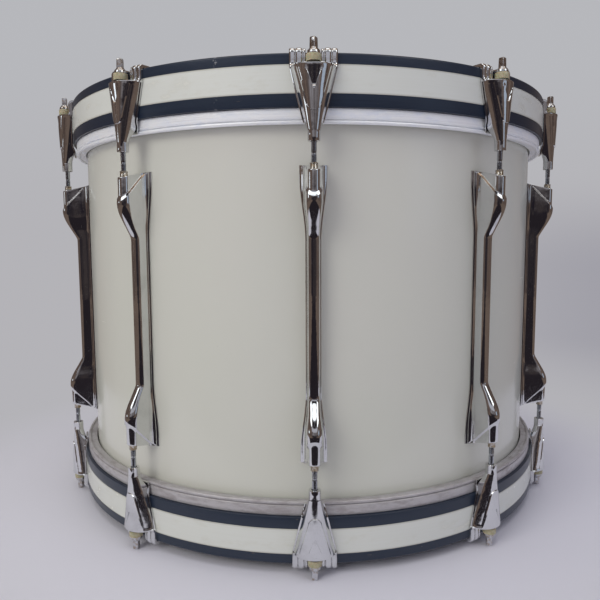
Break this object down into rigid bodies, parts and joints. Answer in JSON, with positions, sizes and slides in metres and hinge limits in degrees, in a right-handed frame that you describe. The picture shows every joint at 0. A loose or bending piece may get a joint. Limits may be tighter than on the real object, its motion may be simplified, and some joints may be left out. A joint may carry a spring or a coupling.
{
  "type": "bass drum",
  "caption": "Double-headed bass drum standing on end: covered shell, striped wooden counterhoops, claw hooks, square-headed tension rods and long double-ended lugs.",
  "frame": {"origin": "centre of the drum, on its axis and halfway between the two heads", "axes": "+Z along the drum's axis towards the upper head; -Y through the first lug, which faces the viewer"},
  "size_m": [0.6454, 0.676, 0.5174],
  "materials": {
    "birch_ply": "clear-sealed birch plywood",
    "shell_covering": "glossy ivory-white plastic covering",
    "chrome_plate": "polished chrome plate on a die casting",
    "zinc_steel": "zinc-plated steel",
    "rod_steel": "plated steel with light tarnish",
    "plated_brass": "worn nickel-plated brass",
    "head_film": "smooth white polyester film",
    "flesh_hoop_aluminium": "dull extruded aluminium",
    "hoop_black": "black lacquer on bent wood",
    "hoop_inlay": "cream plastic inlay",
    "yellowed_nylon": "yellowed nylon"
  },
  "bodies": {
    "shell_assembly": {"shell": "birch_ply", "shell_wrap": "shell_covering", "top_reinforcing_ring": "birch_ply", "bottom_reinforcing_ring": "birch_ply", "vent_grommet": "chrome_plate", "lug_screws": "zinc_steel", "lug_screw_washers": "zinc_steel", "swivel_nuts": "plated_brass", "top_head": "head_film", "bottom_head": "head_film", "top_flesh_hoop": "flesh_hoop_aluminium", "bottom_flesh_hoop": "flesh_hoop_aluminium", "lug_01": "chrome_plate", "lug_02": "chrome_plate", "lug_03": "chrome_plate", "lug_04": "chrome_plate", "lug_05": "chrome_plate", "lug_06": "chrome_plate", "lug_07": "chrome_plate", "lug_08": "chrome_plate", "lug_09": "chrome_plate", "lug_10": "chrome_plate"},
    "top_hoop_assembly": {"top_hoop": "hoop_black", "top_hoop_inlay": "hoop_inlay", "top_claws": "chrome_plate", "top_rod_washers": "yellowed_nylon"},
    "bottom_hoop_assembly": {"bottom_hoop": "hoop_black", "bottom_hoop_inlay": "hoop_inlay", "bottom_claws": "chrome_plate", "bottom_rod_washers": "yellowed_nylon"},
    "top_rod_01_body": {"top_rod_01": "rod_steel"},
    "top_rod_02_body": {"top_rod_02": "rod_steel"},
    "top_rod_03_body": {"top_rod_03": "rod_steel"},
    "top_rod_04_body": {"top_rod_04": "rod_steel"},
    "top_rod_05_body": {"top_rod_05": "rod_steel"},
    "top_rod_06_body": {"top_rod_06": "rod_steel"},
    "top_rod_07_body": {"top_rod_07": "rod_steel"},
    "top_rod_08_body": {"top_rod_08": "rod_steel"},
    "top_rod_09_body": {"top_rod_09": "rod_steel"},
    "top_rod_10_body": {"top_rod_10": "rod_steel"},
    "bottom_rod_01_body": {"bottom_rod_01": "rod_steel"},
    "bottom_rod_02_body": {"bottom_rod_02": "rod_steel"},
    "bottom_rod_03_body": {"bottom_rod_03": "rod_steel"},
    "bottom_rod_04_body": {"bottom_rod_04": "rod_steel"},
    "bottom_rod_05_body": {"bottom_rod_05": "rod_steel"},
    "bottom_rod_06_body": {"bottom_rod_06": "rod_steel"},
    "bottom_rod_07_body": {"bottom_rod_07": "rod_steel"},
    "bottom_rod_08_body": {"bottom_rod_08": "rod_steel"},
    "bottom_rod_09_body": {"bottom_rod_09": "rod_steel"},
    "bottom_rod_10_body": {"bottom_rod_10": "rod_steel"}
  },
  "joints": [
    {"name": "top_hoop_lift", "type": "slide", "parent": "shell_assembly", "child": "top_hoop_assembly", "axis": [0, 0, 1], "range_m": [0, 0.01]},
    {"name": "bottom_hoop_lift", "type": "slide", "parent": "shell_assembly", "child": "bottom_hoop_assembly", "axis": [0, 0, -1], "range_m": [0, 0.01]},
    {"name": "top_rod_01_turn", "type": "hinge", "parent": "top_hoop_assembly", "child": "top_rod_01_body", "pos_m": [0, -0.3285, 0], "axis": [0, 0, 1], "range_deg": [0, 3402.2]},
    {"name": "top_rod_02_turn", "type": "hinge", "parent": "top_hoop_assembly", "child": "top_rod_02_body", "pos_m": [0.19309, -0.26576, 0], "axis": [0, 0, 1], "range_deg": [0, 3402.2]},
    {"name": "top_rod_03_turn", "type": "hinge", "parent": "top_hoop_assembly", "child": "top_rod_03_body", "pos_m": [0.31242, -0.10151, 0], "axis": [0, 0, 1], "range_deg": [0, 3402.2]},
    {"name": "top_rod_04_turn", "type": "hinge", "parent": "top_hoop_assembly", "child": "top_rod_04_body", "pos_m": [0.31242, 0.10151, 0], "axis": [0, 0, 1], "range_deg": [0, 3402.2]},
    {"name": "top_rod_05_turn", "type": "hinge", "parent": "top_hoop_assembly", "child": "top_rod_05_body", "pos_m": [0.19309, 0.26576, 0], "axis": [0, 0, 1], "range_deg": [0, 3402.2]},
    {"name": "top_rod_06_turn", "type": "hinge", "parent": "top_hoop_assembly", "child": "top_rod_06_body", "pos_m": [0, 0.3285, 0], "axis": [0, 0, 1], "range_deg": [0, 3402.2]},
    {"name": "top_rod_07_turn", "type": "hinge", "parent": "top_hoop_assembly", "child": "top_rod_07_body", "pos_m": [-0.19309, 0.26576, 0], "axis": [0, 0, 1], "range_deg": [0, 3402.2]},
    {"name": "top_rod_08_turn", "type": "hinge", "parent": "top_hoop_assembly", "child": "top_rod_08_body", "pos_m": [-0.31242, 0.10151, 0], "axis": [0, 0, 1], "range_deg": [0, 3402.2]},
    {"name": "top_rod_09_turn", "type": "hinge", "parent": "top_hoop_assembly", "child": "top_rod_09_body", "pos_m": [-0.31242, -0.10151, 0], "axis": [0, 0, 1], "range_deg": [0, 3402.2]},
    {"name": "top_rod_10_turn", "type": "hinge", "parent": "top_hoop_assembly", "child": "top_rod_10_body", "pos_m": [-0.19309, -0.26576, 0], "axis": [0, 0, 1], "range_deg": [0, 3402.2]},
    {"name": "bottom_rod_01_turn", "type": "hinge", "parent": "bottom_hoop_assembly", "child": "bottom_rod_01_body", "pos_m": [0, -0.3285, 0], "axis": [0, 0, -1], "range_deg": [0, 3402.2]},
    {"name": "bottom_rod_02_turn", "type": "hinge", "parent": "bottom_hoop_assembly", "child": "bottom_rod_02_body", "pos_m": [0.19309, -0.26576, 0], "axis": [0, 0, -1], "range_deg": [0, 3402.2]},
    {"name": "bottom_rod_03_turn", "type": "hinge", "parent": "bottom_hoop_assembly", "child": "bottom_rod_03_body", "pos_m": [0.31242, -0.10151, 0], "axis": [0, 0, -1], "range_deg": [0, 3402.2]},
    {"name": "bottom_rod_04_turn", "type": "hinge", "parent": "bottom_hoop_assembly", "child": "bottom_rod_04_body", "pos_m": [0.31242, 0.10151, 0], "axis": [0, 0, -1], "range_deg": [0, 3402.2]},
    {"name": "bottom_rod_05_turn", "type": "hinge", "parent": "bottom_hoop_assembly", "child": "bottom_rod_05_body", "pos_m": [0.19309, 0.26576, 0], "axis": [0, 0, -1], "range_deg": [0, 3402.2]},
    {"name": "bottom_rod_06_turn", "type": "hinge", "parent": "bottom_hoop_assembly", "child": "bottom_rod_06_body", "pos_m": [0, 0.3285, 0], "axis": [0, 0, -1], "range_deg": [0, 3402.2]},
    {"name": "bottom_rod_07_turn", "type": "hinge", "parent": "bottom_hoop_assembly", "child": "bottom_rod_07_body", "pos_m": [-0.19309, 0.26576, 0], "axis": [0, 0, -1], "range_deg": [0, 3402.2]},
    {"name": "bottom_rod_08_turn", "type": "hinge", "parent": "bottom_hoop_assembly", "child": "bottom_rod_08_body", "pos_m": [-0.31242, 0.10151, 0], "axis": [0, 0, -1], "range_deg": [0, 3402.2]},
    {"name": "bottom_rod_09_turn", "type": "hinge", "parent": "bottom_hoop_assembly", "child": "bottom_rod_09_body", "pos_m": [-0.31242, -0.10151, 0], "axis": [0, 0, -1], "range_deg": [0, 3402.2]},
    {"name": "bottom_rod_10_turn", "type": "hinge", "parent": "bottom_hoop_assembly", "child": "bottom_rod_10_body", "pos_m": [-0.19309, -0.26576, 0], "axis": [0, 0, -1], "range_deg": [0, 3402.2]}
  ],
  "couplings": [
    {"joint": "top_rod_01_turn", "follows": "top_hoop_lift", "rad_per_m": 5937.1},
    {"joint": "top_rod_02_turn", "follows": "top_hoop_lift", "rad_per_m": 5937.1},
    {"joint": "top_rod_03_turn", "follows": "top_hoop_lift", "rad_per_m": 5937.1},
    {"joint": "top_rod_04_turn", "follows": "top_hoop_lift", "rad_per_m": 5937.1},
    {"joint": "top_rod_05_turn", "follows": "top_hoop_lift", "rad_per_m": 5937.1},
    {"joint": "top_rod_06_turn", "follows": "top_hoop_lift", "rad_per_m": 5937.1},
    {"joint": "top_rod_07_turn", "follows": "top_hoop_lift", "rad_per_m": 5937.1},
    {"joint": "top_rod_08_turn", "follows": "top_hoop_lift", "rad_per_m": 5937.1},
    {"joint": "top_rod_09_turn", "follows": "top_hoop_lift", "rad_per_m": 5937.1},
    {"joint": "top_rod_10_turn", "follows": "top_hoop_lift", "rad_per_m": 5937.1},
    {"joint": "bottom_rod_01_turn", "follows": "bottom_hoop_lift", "rad_per_m": 5937.1},
    {"joint": "bottom_rod_02_turn", "follows": "bottom_hoop_lift", "rad_per_m": 5937.1},
    {"joint": "bottom_rod_03_turn", "follows": "bottom_hoop_lift", "rad_per_m": 5937.1},
    {"joint": "bottom_rod_04_turn", "follows": "bottom_hoop_lift", "rad_per_m": 5937.1},
    {"joint": "bottom_rod_05_turn", "follows": "bottom_hoop_lift", "rad_per_m": 5937.1},
    {"joint": "bottom_rod_06_turn", "follows": "bottom_hoop_lift", "rad_per_m": 5937.1},
    {"joint": "bottom_rod_07_turn", "follows": "bottom_hoop_lift", "rad_per_m": 5937.1},
    {"joint": "bottom_rod_08_turn", "follows": "bottom_hoop_lift", "rad_per_m": 5937.1},
    {"joint": "bottom_rod_09_turn", "follows": "bottom_hoop_lift", "rad_per_m": 5937.1},
    {"joint": "bottom_rod_10_turn", "follows": "bottom_hoop_lift", "rad_per_m": 5937.1}
  ]
}
